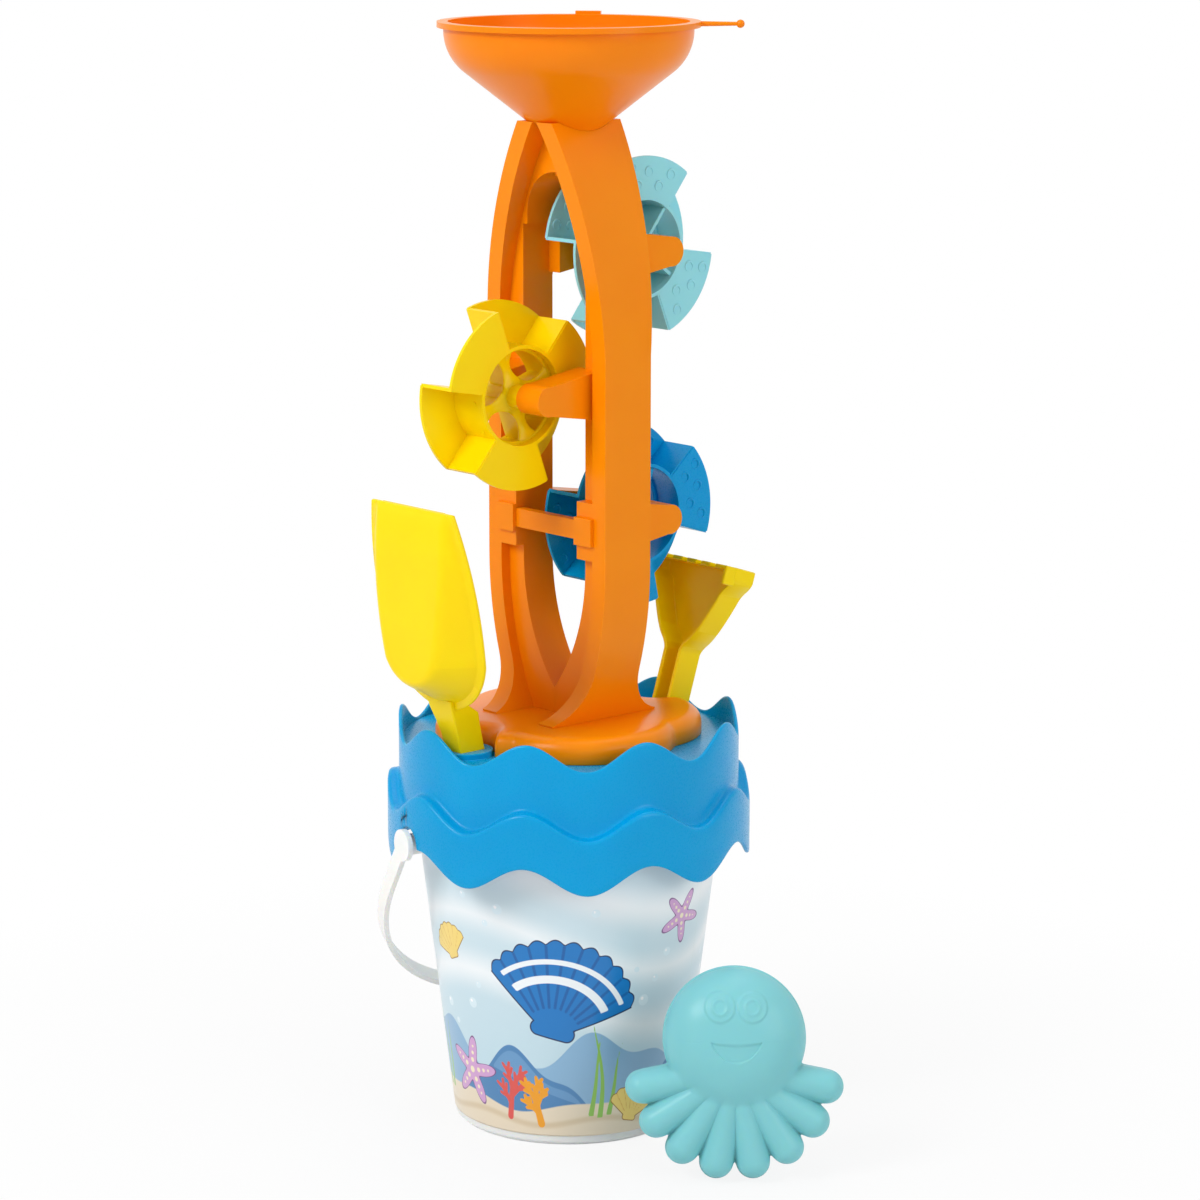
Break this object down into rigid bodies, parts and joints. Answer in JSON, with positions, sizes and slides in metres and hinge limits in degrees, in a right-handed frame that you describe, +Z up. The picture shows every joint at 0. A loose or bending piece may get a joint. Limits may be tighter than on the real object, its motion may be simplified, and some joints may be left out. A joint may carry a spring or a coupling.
{
  "type": "sand wheel toy",
  "caption": "Sand mill tower with a funnel and turning wheels on a sieve collar over a bucket, with a bail handle, a shovel, a rake and an octopus sand mould.",
  "frame": {"origin": "middle of the bucket's flat foot, on the floor", "axes": "+Z up along the bucket and the mill, Y along the wheel axles with the front leg at -Y, X across the wheels"},
  "size_m": [0.1929, 0.2428, 0.5225],
  "materials": {
    "bucket_white": "moulded gloss",
    "print_film": "printed film",
    "bail_white": "moulded satin",
    "collar_blue": "moulded gloss",
    "mill_orange": "moulded gloss",
    "funnel_orange": "moulded gloss",
    "wheel_aqua": "moulded gloss",
    "wheel_yellow": "moulded gloss",
    "wheel_blue": "moulded gloss",
    "tool_yellow": "moulded gloss",
    "mould_aqua": "moulded gloss"
  },
  "bodies": {
    "pail": {"bucket": "bucket_white", "bucket_label": "print_film"},
    "bail": {"bail_handle": "bail_white"},
    "collar": {"sieve": "collar_blue"},
    "mill": {"mill_base": "mill_orange", "front_leg": "mill_orange", "back_leg": "mill_orange", "tie_bar": "mill_orange", "funnel": "funnel_orange", "funnel_arch": "mill_orange", "upper_axle": "mill_orange", "middle_axle": "mill_orange", "lower_axle": "mill_orange"},
    "wheel_upper": {"upper_wheel": "wheel_aqua"},
    "wheel_middle": {"middle_wheel": "wheel_yellow"},
    "wheel_lower": {"lower_wheel": "wheel_blue"},
    "hand_shovel": {"shovel": "tool_yellow"},
    "hand_rake": {"rake": "tool_yellow"},
    "mould": {"octopus_mould": "mould_aqua"}
  },
  "joints": [
    {"name": "bail_swing", "type": "hinge", "parent": "pail", "child": "bail", "pos_m": [0, 0, 0.143], "axis": [0.9781, -0.2079, 0], "range_deg": [0, 70]},
    {"name": "sieve_lift", "type": "slide", "parent": "pail", "child": "collar", "axis": [0, 0, 1], "range_m": [0, 0.06]},
    {"name": "mill_lift", "type": "slide", "parent": "collar", "child": "mill", "axis": [0, 0, 1], "range_m": [0, 0.05]},
    {"name": "upper_spin", "type": "hinge", "parent": "mill", "child": "wheel_upper", "pos_m": [0.0375, 0, 0.415], "axis": [0, 1, 0], "continuous": true},
    {"name": "middle_spin", "type": "hinge", "parent": "mill", "child": "wheel_middle", "pos_m": [-0.0375, 0, 0.352], "axis": [0, 1, 0], "continuous": true},
    {"name": "lower_spin", "type": "hinge", "parent": "mill", "child": "wheel_lower", "pos_m": [0.0375, 0, 0.289], "axis": [0, 1, 0], "continuous": true},
    {"name": "shovel_pull", "type": "slide", "parent": "collar", "child": "hand_shovel", "axis": [-0.2419, 0, 0.9703], "range_m": [0, 0.05]},
    {"name": "rake_pull", "type": "slide", "parent": "collar", "child": "hand_rake", "axis": [0.309, 0, 0.9511], "range_m": [0, 0.05]},
    {"name": "mould_lift", "type": "slide", "parent": "pail", "child": "mould", "axis": [0, 0, 1], "range_m": [0, 0.08]}
  ]
}
